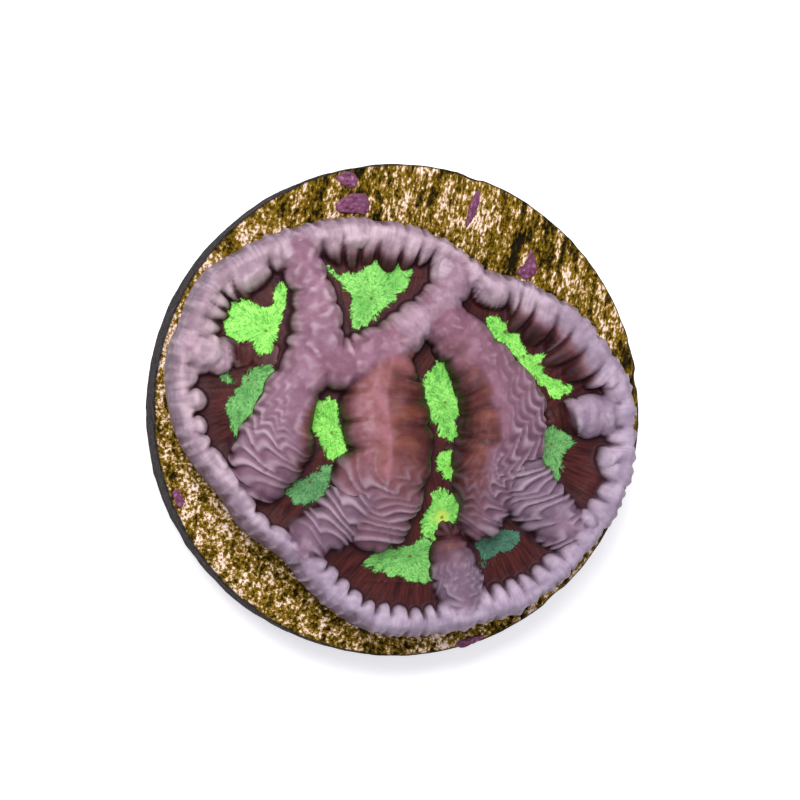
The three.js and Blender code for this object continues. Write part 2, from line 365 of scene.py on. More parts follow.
# wall rows: x, y, height of the crest, half width on the left and on the right, how terraced, how warm
walls = dict(
    left=dict(
        seed=11, pleat=2.3, crease=0.08, hang=("left", 7), flap=2.6, row=0.85, step=0.5,
        rose=0.1, grey=0.1, warm=(0.9, 0.0), crest=[
            [-10.6, 17, 3.2, 1.9, 1.8, 0, 0], [-10.5, 14.8, 3.4, 1.9, 2.0, 0, 0],
            [-10.4, 12.3, 3.8, 2.2, 2.3, 0, 0], [-10.3, 9.4, 4, 2.3, 2.6, 0, 0],
            [-10.6, 6.4, 4, 2.4, 2.8, 0, 0], [-12.1, 3, 4, 2.2, 2.8, 0.2, 0.4],
            [-13.6, -0.5, 4, 2.5, 3.0, 0.6, 1], [-14.4, -3.6, 4.2, 3.3, 3.6, 1, 0.9],
            [-15.1, -6.2, 3.8, 3.4, 3.4, 1, 0]]),
    saddle=dict(
        seed=12, pleat=2.2, crease=0.08, rose=0.2, grey=0, warm=(0.0, 0.8), crest=[
            [-10.6, 5.7, 4, 2.2, 2.6, 0, 0], [-7.3, 4.8, 4, 2.5, 2.8, 0, 0.3],
            [-4.5, 5.3, 4, 2.5, 2.9, 0, 0.3], [-1.4, 7.2, 4, 2.2, 2.4, 0, 0]]),
    far=dict(
        seed=13, pleat=2.0, crease=0.08, rose=0.1, grey=0.45, warm=(0.0, 0.0), crest=[
            [-1.4, 7.2, 4, 2.2, 2.4, 0, 0], [0.9, 9.1, 4, 2.1, 2.2, 0, 0], [3.2, 10.8, 3.8, 2, 2, 0, 0],
            [4.8, 12.8, 3.6, 1.9, 2, 0, 0], [5.3, 14.8, 3.2, 1.8, 1.8, 0, 0]]),
    right=dict(
        seed=14, pleat=2.4, crease=0.10, hang=("right", 7), flap=2.4, row=0.8, step=0.5,
        rose=0.3, grey=0, warm=(0.0, 1.0), warmFrom=(0.08, -0.15), crest=[
            [3.2, 10.4, 3.8, 2.3, 1.9, 0, 0], [5.7, 8.3, 4, 2.9, 2.4, 0.1, 0.2],
            [8.2, 5.4, 4, 3.4, 2.8, 0.1, 0.6], [10.1, 2.4, 4.2, 4.0, 3.4, 0.35, 1],
            [11.2, -1, 4.4, 4.7, 3.9, 0.75, 1], [11.1, -4.4, 4.4, 4.7, 4.1, 0.9, 1],
            [10.0, -7.5, 4.2, 4.0, 3.7, 1, 0.9], [9.1, -10.0, 3.8, 3.1, 3.1, 1, 0.7],
            [8.6, -12.3, 3.3, 2.4, 2.4, 1, 0.4]]),
    nearRight=dict(
        seed=15, pleat=1.7, crease=0.12, hang=("right", 5), flap=2.4, row=1.0, step=0.55,
        rose=0.1, grey=0.25, warm=(0.0, 0.0), crest=[
            [10.5, -5.4, 4.2, 3.4, 3.4, 1, 0], [12.8, -8.0, 3.9, 3.3, 3.4, 1, 0],
            [15.0, -10.3, 3.5, 2.8, 3.1, 1, 0], [17.5, -12.6, 3.1, 2.2, 2.4, 0.8, 0]]),
    middle=dict(
        seed=16, pleat=2.8, crease=0.19, hang=("middle", 5), flap=3.0, row=0.95, step=0.42,
        rose=1.0, grey=0, warm=(1.0, 0.5), warmFrom=(-0.2, 0.45), crest=[
            [-1.4, 7.2, 4, 2.2, 2.2, 0, 0], [-2.8, 4.1, 4.2, 3.6, 2.8, 0, 0.8],
            [-3.1, 0.5, 4.4, 4.7, 3.6, 0, 1], [-2.9, -3.4, 4.6, 4.9, 3.4, 0.1, 1],
            [-2.7, -5.6, 4.5, 4.9, 3.1, 0.3, 0.9], [-2.9, -8.0, 4.5, 4.8, 4.4, 0.8, 0.6],
            [-3.0, -10.4, 4.2, 4.3, 4.5, 1, 0.3], [-3.1, -12.6, 3.7, 3.3, 3.4, 1, 0]]),
    nearLeft=dict(
        seed=17, pleat=1.8, crease=0.12, hang=("middle", 5), flap=2.4, row=1.1, step=0.4,
        rose=0.0, grey=0.1, warm=(0.0, 0.0), crest=[
            [-3.2, -10.3, 4.2, 2.8, 2.6, 1, 0], [-6.1, -11.6, 3.8, 2.7, 2.7, 1, 0],
            [-8.9, -13, 3.4, 2.5, 2.5, 1, 0], [-10.9, -14.4, 3, 2.0, 2.0, 0.8, 0]]),
    near=dict(
        seed=18, pleat=1.9, crease=0.08, hang=("near", 3), flap=2.1, row=0.9, step=0.4,
        rose=0.1, grey=0.3, warm=(0.95, 0.95), warmCrest=1, crest=[
            [4.8, -13.4, 1.4, 1.5, 1.5, 0, 1], [5.1, -15.2, 2.6, 2.0, 2.0, 0, 0.8],
            [5.8, -17.5, 3.2, 2.4, 2.4, 0.6, 0], [6.3, -19.8, 3, 2.4, 2.4, 0.8, 0]]),
    leftFold=dict(
        seed=19, pleat=2.6, crease=0.08, rose=0.0, grey=0.7, warm=(0, 0), crest=[
            [-21.6, 6.3, 3.2, 2.2, 2.2, 0, 0], [-19.7, 5.5, 2.2, 1.9, 1.9, 0, 0],
            [-16.5, 5.6, 0.7, 1.5, 1.5, 0, 0], [-13.1, 5.2, 0.6, 1.2, 1.2, 0, 0]]),
    rightFold=dict(
        seed=20, pleat=2.6, crease=0.08, rose=0.0, grey=0.7,
        warm=(0.9, 0.9), warmCrest=1, crest=[
            [21, -0.6, 3, 2.3, 2.3, 0, 0], [19.2, -0.8, 3.1, 2.1, 2.1, 0, 0],
            [17.6, -0.9, 1.5, 1.7, 1.7, 0, 1], [16, -1, 0.5, 1.3, 1.3, 0, 1]]),
)

# fleshy tongues that hang in from the rim: root x, y, tip x, y, half width, height
tongues = [
    [-17.4, 15.4, -15.2, 13.6, 2.0, 3.5], [-21.6, 6.4, -20.0, 5.8, 2.0, 3.3],
    [-5.1, 18.2, -5.0, 17.2, 1.8, 3.4], [-19.6, 12.8, -18.8, 12.2, 1.0, 3.1],
    [-21.0, 9.8, -20.3, 9.6, 0.8, 2.9], [-21.6, 1.0, -20.7, 1.1, 1.2, 3.3],
    [-21.4, -1.7, -20.7, -1.6, 1.1, 3.2], [-19.0, -4.7, -18.4, -5.6, 0.8, 3.1],
    [-16.6, -8.4, -16.1, -9.2, 0.9, 3.1], [4.4, 14.2, 4.0, 13.6, 1.5, 3.3],
    [20.9, 4.2, 21.2, 3.0, 1.2, 3.0], [-12.2, 16.8, -11.6, 15.8, 1.2, 3.2],
    [21.4, -4.8, 20.7, -4.7, 1.2, 3.0], [19.2, -11.4, 18.6, -10.9, 1.0, 3.0],
]

# the green floor of each valley: its outline, and its mouths; each patch's brightness runs from dull to
# glowing, partly its own fluorescence and partly painted shade on the deeper patches
patches = dict(
    far=dict(fluorescenceAndPaintedLight=0.7, mouths=[[-3.3, 11.1]], edge=[
        [-7.8, 14.5], [-6.2, 13.6], [-4.4, 13.7], [-3, 14.8], [-1.6, 14.6], [0.9, 14.1], [0.2, 12.3],
        [-1.8, 10.3], [-4.2, 8.3], [-5.2, 8.4], [-5.3, 10.8], [-6.1, 12.2]]),
    farLeft=dict(fluorescenceAndPaintedLight=0.95, mouths=[[-13.7, 7.9]], edge=[
        [-17.9, 8], [-17.4, 10.1], [-16.1, 11.3], [-14.4, 10.4], [-13, 10.7], [-12.7, 12.5],
        [-11.7, 12.4], [-12.1, 9.2], [-13.3, 6], [-14.6, 5.6], [-15.2, 6.7], [-16.8, 6.8]]),
    left=dict(fluorescenceAndPaintedLight=0.42, mouths=[[-15.5, 3.0]], edge=[
        [-17.6, 0.6], [-16.6, 2.3], [-15.1, 4.2], [-13.6, 4.6], [-13.1, 3.2], [-14.1, 1.2],
        [-16.5, -2.7], [-17.4, -1]]),
    leftCorner=dict(fluorescenceAndPaintedLight=0.4, mouths=[[-17.8, 3.8]], edge=[
        [-18.4, 4.5], [-17.3, 4.7], [-17.4, 3.6], [-16.6, 2.6], [-18.3, 3]]),
    middle=dict(fluorescenceAndPaintedLight=1.0, mouths=[[-7.4, -2.2]], edge=[
        [-9.1, 0.8], [-7, 1.1], [-6.5, -1.3], [-5.9, -3.8], [-4.7, -4.5], [-4.8, -5.6], [-6.4, -4.7],
        [-7.7, -4.8], [-8.7, -2.6], [-9.7, -1.1]]),
    nearLeft=dict(fluorescenceAndPaintedLight=0.25, mouths=[[-9.5, -7.1]], edge=[
        [-12.2, -8], [-9.6, -6.3], [-7.5, -5.5], [-7.8, -8.2], [-10, -9.4], [-11.2, -8.8]]),
    centreFar=dict(fluorescenceAndPaintedLight=0.85, mouths=[[3.9, 0.8]], edge=[
        [3.3, 4.9], [4.6, 4], [4.4, 2.9], [5.4, 1.6], [5.9, 0], [5, -0.9], [5.7, -2.9], [3.7, -2.8],
        [2.8, -1.2], [2, 0], [2.2, 0.8], [1.5, 1.5], [2, 2.2], [1.5, 3], [2.4, 3.9]]),
    centre=dict(fluorescenceAndPaintedLight=1.0, mouths=[[4.5, -5.5]], edge=[
        [3.5, -3.9], [5.6, -4.3], [5.6, -6.5], [4.6, -7], [3.3, -5.9]]),
    centreNear=dict(fluorescenceAndPaintedLight=0.8, ring=(3.7, -10.6), mouths=[[3.7, -10.6]], edge=[
        [2.9, -7.8], [4.6, -8.2], [5.5, -9.7], [5, -11.4], [3.1, -12.9], [1.5, -11.6], [2.6, -9.3]]),
    near=dict(fluorescenceAndPaintedLight=0.55, mouths=[[0.6, -14.5]], edge=[
        [2.9, -13.1], [3.1, -16.1], [2.3, -17.3], [-0.4, -16.7], [-3.9, -15.4], [-2.4, -13.9],
        [0.1, -13.5], [1.5, -12.7]]),
    nearRight=dict(fluorescenceAndPaintedLight=0.0, mouths=[[8.5, -13.2]], edge=[
        [6.7, -11.9], [7.3, -13.5], [8.1, -15.5], [9.3, -14.5], [11.2, -13.9], [11.5, -12.1]]),
    right=dict(fluorescenceAndPaintedLight=0.95, mouths=[[10.2, 7.8], [12.1, 5.4], [13.7, 4.6]], edge=[
        [8.1, 9.1], [9.4, 9.5], [10.4, 8.7], [10.6, 8], [11.8, 7.5], [12.5, 5.7], [15.3, 5.6],
        [14.2, 3.8], [17.3, 2.2], [15.3, 1.1], [14, 2.6], [11.5, 4.5], [10.9, 5.7], [9.1, 7.3]]),
    rightNear=dict(fluorescenceAndPaintedLight=0.35, mouths=[[15.0, -3.4]], edge=[
        [14.2, -1.8], [16.4, -2.2], [17.5, -3.3], [16.3, -4.4], [16, -6.7], [14.7, -6.7], [13.8, -5]]),
)


rimLine = smoothLine(footprint, True, 12)
rimLength = lineLength(rimLine)
rimTurns = np.concatenate([[0], np.cumsum(np.diff(rimLength) / rimLine[:-1, 3])])
rimAhead = np.roll(rimLine, -1, axis=0)[:, :2] - np.roll(rimLine, 1, axis=0)[:, :2]
rimAhead /= np.hypot(*rimAhead.T)[:, None]


def leanAt(x, y):
    cx, cy = colony["leanCentre"]
    lx, ly = (x - cx) * colony["leanPerMm"], (y - cy) * colony["leanPerMm"]
    length = np.hypot(lx, ly)
    keep = np.minimum(1, colony["leanLimit"] / np.maximum(length, 1e-9))
    return lx * keep, ly * keep


def wallFoot(crest):  # the crest leans out from over its foot, so the foot is nearer the middle
    line = smoothLine(crest, False, 20)
    x, y, height = line[:, 0], line[:, 1], line[:, 2]
    edge = nearestOnLine(x, y, rimLine)[1]
    share = smoothStep(colony["rimInset"], colony["leanFade"], edge)
    lx, ly = leanAt(x, y)
    line[:, 0] -= lx * height * share
    line[:, 1] -= ly * height * share
    return line


def closeTo(x, y, line, margin):  # which places lie within a margin of a line's box
    low, high = line[:, :2].min(0) - margin, line[:, :2].max(0) + margin
    return np.nonzero((x > low[0]) & (x < high[0]) & (y > low[1]) & (y < high[1]))[0]


def rimField(f):
    c = colony
    x, y = f["x"], f["y"]
    index, away = nearestOnLine(x, y, rimLine)
    dx, dy = x - rimLine[index, 0], y - rimLine[index, 1]
    forward = np.clip(dx * rimAhead[index, 0] + dy * rimAhead[index, 1], -0.4, 0.4)
    edge = np.sqrt(np.maximum(away ** 2 - forward ** 2, 0))
    reach, pitch, slope = rimLine[index, 2], rimLine[index, 3], rimLine[index, 4]
    turn = rimTurns[index] + forward / pitch
    fold = lobes(turn, 1.0, 5)
    whim = softNoise(turn, 0 * x, 1.0, 6)
    wide = softNoise(turn, 0 * x, 2.6, 7)
    reachHere = reach * (0.74 + 0.28 * fold + 0.24 * whim + 0.14 * wide)
    beyond = np.maximum(edge - c["rimInset"], 0)
    inward = np.clip(beyond / reachHere, 0, 1)
    steepEnd = np.sqrt(np.clip(1 - inward ** 3.4, 0, 1))
    longSlope = (1 - inward ** 1.5) ** 0.85
    share = mixed(steepEnd, longSlope, slope)
    groove = (1 - fold) * (0.12 + 0.88 * smoothStep(0.6, 2.4, edge)) * smoothStep(0, 0.5, share)
    f["top"] = f["base"] + (c["rimWall"] + 0.3 * whim) * share
    f["rise"] = share
    f["relief"] = c["rimFlesh"] * smoothStep(0, 0.4, share) - c["rimGroove"] * groove * (1 - 0.25 * slope)
    f["along"], f["across"] = rimLength[index] + forward, edge
    f["edge"], f["fold"] = edge, fold
    pale = beyond - 0.7 * (fold - 0.5)
    f["rimness"] = 1 - smoothStep(1.8 - 0.7 * slope, 4.2 - 1.3 * slope, pale)
    f["warm"] = 0.85 * slope * smoothStep(1.5, 3.4, pale)
    f["rose"] = 0.5 * slope * smoothStep(0.2, 1.4, beyond)
    f["lip"] = fold * smoothStep(0.3, 0.8, inward) * smoothStep(0.3, 0.65, share) * (1 - slope)
    f["costae"] = np.cos(4 * np.pi * turn)


def floorField(f):
    x, y = f["x"], f["y"]
    f["green"], f["mouthAway"] = np.full(x.shape, -9.0), np.full(x.shape, 9.0)
    f["ring"], f["fluorescenceAndPaintedLight"], f["fibre"] = np.zeros(x.shape), np.zeros(x.shape), np.zeros(x.shape + (3,))
    for patch in patches.values():
        edge = smoothLine(patch["edge"], True, 4)[:, :2]
        pick = closeTo(x, y, edge, colony["basinReach"])
        px, py = x[pick], y[pick]
        inside = insideDistance(px, py, edge)
        away, spoke = np.full(px.shape, 9.0), np.zeros(px.shape + (3,))
        for mx, my in patch["mouths"]:
            far = np.hypot(px - mx, py - my)
            ring = np.stack([3 * (px - mx) / (far + 0.05) + mx, 3 * (py - my) / (far + 0.05), far], axis=1)
            spoke = np.where((far < away)[:, None], ring, spoke)
            away = np.minimum(away, far)
        better = inside > f["green"][pick]
        chosen = pick[better]
        if "ring" in patch:
            rim = np.hypot(px - patch["ring"][0], py - patch["ring"][1])
            f["ring"][pick] = np.maximum(f["ring"][pick], smoothStep(1.1, 0.2, rim))
        f["green"][chosen], f["mouthAway"][chosen] = inside[better], away[better]
        f["fluorescenceAndPaintedLight"][chosen], f["fibre"][chosen] = patch["fluorescenceAndPaintedLight"], spoke[better]
    basin = smoothStep(-colony["basinReach"], 0.3, f["green"])
    f["floor"] = f["base"] + colony["floor"] - colony["basinDepth"] * basin


def terraceWay(x, y, wall):  # along and down from the crest that the wall's terraces hang round
    name, rows = wall["hang"]
    guide = wallFoot(walls[name]["crest"][:rows])
    k, away, forward, sideways, atEnd = besideLine(x, y, guide)
    turned = np.arctan2(forward, np.abs(sideways) + 1e-6) * 4
    length = lineLength(guide)
    along = length[k] + np.where(atEnd, turned, forward)
    farSide = 2 * (length[-1] + 2 * np.pi) - along
    return np.where(sideways > 0, along, farSide), away


def wallField(f, number, wall):
    line = wallFoot(wall["crest"])
    pick = closeTo(f["x"], f["y"], line, colony["wallReach"])
    x, y = f["x"][pick], f["y"][pick]
    k, away, forward, sideways, atEnd = besideLine(x, y, line)
    tall, halfLeft, halfRight, terraced, heat = line[k, 2:7].T
    seed = wall["seed"]
    around = np.arctan2(forward, np.abs(sideways) + 1e-6) * 2.2
    s = lineLength(line)[k] + np.where(atEnd, around, forward)
    onLeft = smoothStep(-0.5, 0.5, sideways)
    fold = mixed(lobes(s + 31.7, wall["pleat"], seed + 1), lobes(s, wall["pleat"], seed), onLeft)
    wander = mixed(softNoise(s, 0 * s, 2.7, seed + 55), softNoise(s, 0 * s, 2.7, seed + 50), onLeft)
    half = mixed(halfRight, halfLeft, onLeft) + 0.3 * (fold - 0.6) + 0.3 * wander
    t = away / half
    share = np.clip(1 - np.clip(t, 0, 1) ** 2.9, 0, 1) ** 0.62
    crown = tall + 0.25 * softNoise(s, away, 2.0, seed + 9)
    top = f["base"][pick] + crown * share
    gain = smoothStep(-0.35, 0.35, top - f["top"][pick]) * smoothStep(0.0, 0.2, share)
    lift, lip = np.zeros(x.shape), np.zeros(x.shape)
    if "hang" in wall:
        lift, lip = terraces(*terraceWay(x, y, wall), wall["flap"], wall["row"], seed + 40)
    flank = smoothStep(0.3, 0.8, t) * (1 - smoothStep(0.95, 1.05, t))
    warmLeft, warmRight = wall["warm"]
    warmSide = heat * mixed(warmRight, warmLeft, onLeft)
    scaly = np.maximum(smoothStep(0.05, 0.35, t), smoothStep(0.85, 1.0, terraced))
    scaly = scaly * terraced * (1 - 0.85 * warmSide)
    uneven = 0.6 + 0.6 * softNoise(s, away, 1.3, seed + 60)
    crease = (1 - fold) * flank * (1 - scaly) * uneven
    relief = colony["flesh"] + wall.get("step", 0) * (lift - 0.5) * scaly
    relief = relief - colony["creaseDepth"] * wall["crease"] * crease
    fromLeft, fromRight = wall.get("warmFrom", (0.08, 0.08))
    start = mixed(fromRight, fromLeft, onLeft)
    warm = smoothStep(start, start + 0.5, t + 0.2 * softNoise(s, away, 1.8, seed + 70))
    warm = warmSide * np.maximum(warm, wall.get("warmCrest", 0))
    rose = wall["rose"] * (1 - 0.75 * scaly)
    for name, value in dict(relief=relief, scaly=scaly, lip=lip * scaly, rose=rose, warm=warm,
                            rimness=wall["grey"]).items():
        f[name][pick] = mixed(f[name][pick], value, gain)
    wins = gain > 0.5
    f["along"][pick[wins]], f["across"][pick[wins]] = s[wins] + 60 * number, away[wins]
    f["rise"][pick] = np.maximum(f["rise"][pick], share * smoothStep(0.6, 2.4, crown))
    f["top"][pick] = roundedMax(f["top"][pick], top, colony["fillet"])


def tongueField(f):
    x, y = f["x"], f["y"]
    for ax, ay, bx, by, half, tall in tongues:
        dx, dy = bx - ax, by - ay
        t = np.clip(((x - ax) * dx + (y - ay) * dy) / (dx ** 2 + dy ** 2), 0, 1)
        away = np.hypot(x - ax - t * dx, y - ay - t * dy) / half
        away = away * (1 + 0.12 * softNoise(x, y, 0.9, 71))
        share = np.clip(1 - away ** 2.6, 0, 1) ** 0.62
        top = f["base"] + (tall + 0.1) * share
        gain = smoothStep(-0.2, 0.3, top - f["top"]) * smoothStep(0, 0.2, share)
        f["relief"] = mixed(f["relief"], colony["tongueFlesh"], gain)
        f["lip"] = mixed(f["lip"], 0.6 * smoothStep(0.3, 0.8, away) * smoothStep(0.35, 0.7, share), gain)
        f["warm"] = f["warm"] * (1 - gain)
        f["rimness"] = np.maximum(f["rimness"], gain)
        f["rise"] = np.maximum(f["rise"], share)
        f["top"] = roundedMax(f["top"], np.where(share > 0, top, -9), colony["tongueFillet"])


def colonyField(x, y, outside):  # height over the disc, fine relief and the masks for the colours
    c = colony
    f = dict(x=x, y=y)
    dome = np.hypot(x - c["domeCentre"][0], y - c["domeCentre"][1]) / c["domeRadius"]
    f["base"] = c["rimFloor"] + c["domeRise"] * np.maximum(0, 1 - dome ** 2)
    f["scaly"] = np.zeros(x.shape)
    rimField(f)
    floorField(f)
    for number, wall in enumerate(walls.values()):
        wallField(f, number + 1, wall)
    tongueField(f)
    height = roundedMax(f["floor"], f["top"], c["fillet"])
    rise, rimness, scaly = f["rise"], f["rimness"], f["scaly"]
    crest = smoothStep(0.5, 0.9, rise)
    wobbleX, wobbleY = 0.35 * softNoise(x, y, 1.3, 31), 0.35 * softNoise(x, y, 1.3, 35)
    lumps = cobbles(x + wobbleX, y + wobbleY, c["cobble"], 32)
    lumpy = crest * (1 - scaly) * (1 - 0.8 * rimness) * (1 - 0.7 * np.maximum(f["rose"], f["warm"]))
    f["relief"] += c["cobbleHeight"] * (lumps - 0.6) * lumpy
    f["relief"] += c["lumpHeight"] * layeredNoise(x, y, c["lump"], 33) * crest
    f["relief"] += c["grainHeight"] * layeredNoise(x, y, c["grain"], 36) * crest
    ribs = np.cos(2 * np.pi * (f["along"] / c["rib"] + 0.4 * softNoise(f["along"], f["across"], 2.2, 34)))
    onFlank = smoothStep(0.1, 0.5, rise) * (1 - smoothStep(0.8, 1, rise)) * (1 - scaly)
    f["relief"] += c["ribHeight"] * ribs * onFlank
    onOuter = smoothStep(0.2, 0.8, outside) * (1 - smoothStep(0.95, 1, outside))
    f["relief"] += c["costaHeight"] * f["costae"] * onOuter
    folds = f["fold"] - 0.6 + 0.8 * softNoise(f["along"], 0 * x, 3.0, 37)
    wrinkles = layeredNoise(f["along"], 5 * outside, 1.5, 38)
    f["relief"] += (c["outerFold"] * folds + c["outerWrinkle"] * wrinkles) * smoothStep(0.1, 0.6, outside)
    f["relief"] *= smoothStep(1.0, 0.9, outside)
    f["rise"] = np.where(outside > 0, 1, rise)
    height = c["skirt"] + (height - c["skirt"]) * np.sqrt(np.maximum(0, 1 - outside ** 2))
    f["height"] = height
    # painted light and shade: tones get lighter towards the far left and darker towards the near right
    f["paintedLightSide"] = smoothStep(-16, 16, 0.8 * y - 0.5 * x)
    f["outside"] = outside
    return f


def footprintPlace(gx, gy):  # from the square grid to the round footprint; outside is 0 at the rim's crest
    c = colony
    r, angle = roundPlace(gx, gy)
    cx, cy = c["domeCentre"]
    radius = radiusAt(angle, rimLine, cx, cy)
    outward = np.clip((r - 1 + c["wallShare"]) / c["wallShare"], 0, 1)
    outside = np.sin(outward * np.pi / 2)
    reach = np.where(outward > 0, radius - c["rimInset"] * (1 - outside),
                     r / (1 - c["wallShare"]) * (radius - c["rimInset"]))
    return cx + reach * np.cos(angle), cy + reach * np.sin(angle), outside


def colonyShape(gx, gy):
    x, y, outside = footprintPlace(gx, gy)
    f = colonyField(x, y, outside)
    lx, ly = leanAt(x, y)
    share = smoothStep(colony["rimInset"], colony["leanFade"], f["edge"])
    share = share * np.maximum(f["height"] - f["base"], 0) * (outside == 0)
    x = x + lx * share + colony["shift"]
    return np.stack([x, y + ly * share, discTop + f["height"]], axis=1), f


def evenGrid(gx, gy, places, passes):  # slides the grid so that steep flanks get as many faces as flat ones
    count = colony["grid"] + 1
    column = np.rint((gx + 1) / 2 * (count - 1)).astype(int)
    row = np.rint((gy + 1) / 2 * (count - 1)).astype(int)
    surface = np.zeros((count, count, 3))
    surface[column, row] = places
    line = np.linspace(-1, 1, count)
    grid = np.stack(np.meshgrid(line, line, indexing="ij"), axis=-1)
    for _ in range(passes):
        at = np.clip((grid + 1) / 2 * (count - 1), 0, count - 1.001)
        i, j = at[..., 0].astype(int), at[..., 1].astype(int)
        fi, fj = (at[..., 0] - i)[..., None], (at[..., 1] - j)[..., None]
        here = mixed(mixed(surface[i, j], surface[i + 1, j], fi),
                     mixed(surface[i, j + 1], surface[i + 1, j + 1], fi), fj)
        total, weights = np.zeros(grid.shape)[1:-1, 1:-1], 1e-6
        for a, b in ((0, 1), (2, 1), (1, 0), (1, 2)):
            other = slice(a, count - 2 + a), slice(b, count - 2 + b)
            pull = np.linalg.norm(here[other] - here[1:-1, 1:-1], axis=-1, keepdims=True)
            total += pull * grid[other]
            weights = weights + pull
        grid[1:-1, 1:-1] += 0.5 * (total / weights - grid[1:-1, 1:-1])
    return grid[column, row].T


def colonyPiece(material):
    c = colony
    bm = closedGrid(c["grid"], c["skirtRows"])
    piece = addPiece(bm, "coral_colony", material, "coral")
    mesh = piece.data
    gx, gy, layer = corners(mesh).T
    onSkin = layer > -0.5
    places = colonyShape(gx[onSkin], gy[onSkin])[0]
    gx[onSkin], gy[onSkin] = evenGrid(gx[onSkin], gy[onSkin], places, c["slides"])
    places, f = colonyShape(gx, gy)
    angle = np.arctan2(places[:, 1] - c["domeCentre"][1], places[:, 0] - c["domeCentre"][0] - c["shift"])
    tuck = np.where(onSkin, 0, c["skirtTuck"] * -layer)  # the skirt turns in under the rim
    places[:, 0] -= tuck * np.cos(angle)
    places[:, 1] -= tuck * np.sin(angle)
    places[~onSkin, 2] = discTop + c["skirt"] * (1 + layer[~onSkin] / c["skirtRows"])
    placeCorners(mesh, places * mm)

    # folds, flaps and lumps stand out along the skin's own directions
    co = corners(mesh)
    calm = neighbourMean(mesh, co, c["calmPasses"])
    placeCorners(mesh, calm)
    normals = np.zeros(co.size)
    mesh.vertices.foreach_get("normal", normals)
    push = np.where(onSkin, f["relief"], 0)[:, None] * mm
    pushed = co + normals.reshape(-1, 3) * push
    eased = neighbourMean(mesh, pushed, 1)
    placeCorners(mesh, np.where((onSkin & (f["outside"] < 0.99))[:, None], eased, pushed))

    f["fine"], f["broad"] = swell(mesh, c["finePasses"]), swell(mesh, c["broadPasses"])
    f["lip"] = neighbourMean(mesh, f["lip"][:, None], 2)[:, 0]
    for name in ("rise", "rimness", "warm", "rose", "along", "across", "scaly", "lip", "green", "fluorescenceAndPaintedLight",
                 "mouthAway", "ring", "paintedLightSide", "fibre", "outside", "fine", "broad"):
        addMask(mesh, name, f[name])
    print("colony", len(mesh.polygons), "faces")
    return piece


tissue = dict(  # pairs run from painted shade on the near right to painted light on the far left; green pairs run from dull, painted-shade patches to glowing ones
    crest=[(116, 86, 110), (146, 106, 128)], crestRose=(152, 100, 110),
    dull=[(88, 60, 80), (118, 80, 102)], dullRose=(118, 68, 60),
    paleRim=[(176, 158, 180), (192, 166, 178)], dullRim=[(132, 115, 138), (138, 112, 128)],
    outer=[(104, 88, 112), (134, 112, 130)],
    outerStreak=(84, 62, 78), outerPatch=(104, 72, 84), outerFoot=(58, 38, 46),
    brown=[(54, 22, 26), (84, 38, 36), (118, 64, 48)], brownStreak=(120, 66, 46),
    slope=[(42, 13, 16), (86, 37, 35)], slopeFoot=(24, 9, 14),
    # the pale pair is a painted highlight tone; the crease and hollow tones after it are painted shade
    pale=[(206, 184, 202), (228, 206, 214)], paintedCreviceShade=(52, 30, 42), paintedHollowShade=(52, 28, 38),
    greenDeep=[(40, 70, 62), (60, 156, 46)], greenLit=[(84, 132, 108), (172, 255, 118)],
    ring=(206, 226, 96), mouth=(96, 62, 34), combing=(2.6, 2.6, 0.8),
    specular=0.12, roughness=(0.42, 0.58), grainDepth=0.12,
)


